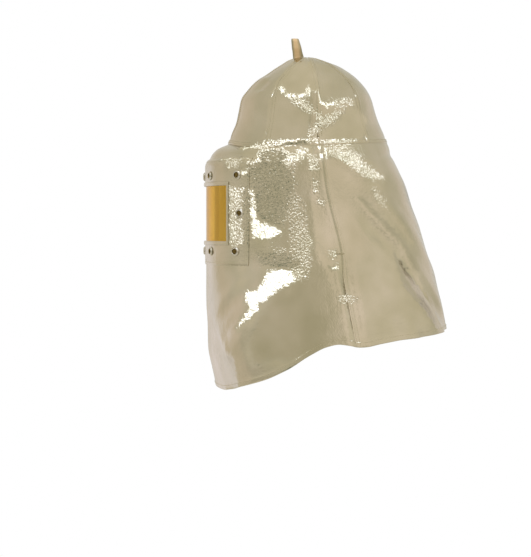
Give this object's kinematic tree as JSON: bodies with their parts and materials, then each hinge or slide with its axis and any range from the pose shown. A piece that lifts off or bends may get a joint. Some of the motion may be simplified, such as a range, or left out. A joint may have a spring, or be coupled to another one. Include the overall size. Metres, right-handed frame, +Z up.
{
  "type": "aluminized heat protection hood",
  "caption": "Aluminized cloth hood with a gored crown, a cape down to the shoulders, a wide gold visor in a snapped frame and a hanging loop.",
  "frame": {"origin": "inside top of the crown, where the hood sits on the head", "axes": "+Z up; the wearer faces -Y and the wearer's left is +X"},
  "size_m": [0.3817, 0.3894, 0.5562],
  "materials": {
    "aluminized_cloth": "aluminium foil bonded to woven cloth, warm silver, semi-gloss with fine creases",
    "gold_visor": "gold coated clear sheet",
    "snap_brass": "nickel plated brass, polished, brass in the socket",
    "loop_webbing": "woven aramid webbing"
  },
  "bodies": {
    "root": {"crown_gore_front_left": "aluminized_cloth", "crown_gore_front_right": "aluminized_cloth", "crown_gore_front_side_left": "aluminized_cloth", "crown_gore_front_side_right": "aluminized_cloth", "crown_gore_back_side_left": "aluminized_cloth", "crown_gore_back_side_right": "aluminized_cloth", "crown_gore_back_left": "aluminized_cloth", "crown_gore_back_right": "aluminized_cloth", "cape_front": "aluminized_cloth", "cape_back": "aluminized_cloth", "window_frame": "aluminized_cloth", "window_lip": "aluminized_cloth", "visor": "gold_visor", "snap_top_inner_left": "snap_brass", "snap_top_outer_left": "snap_brass", "snap_middle_left": "snap_brass", "snap_bottom_inner_left": "snap_brass", "snap_bottom_outer_left": "snap_brass", "snap_top_inner_right": "snap_brass", "snap_top_outer_right": "snap_brass", "snap_middle_right": "snap_brass", "snap_bottom_inner_right": "snap_brass", "snap_bottom_outer_right": "snap_brass", "hanging_loop": "loop_webbing"}
  },
  "joints": []
}
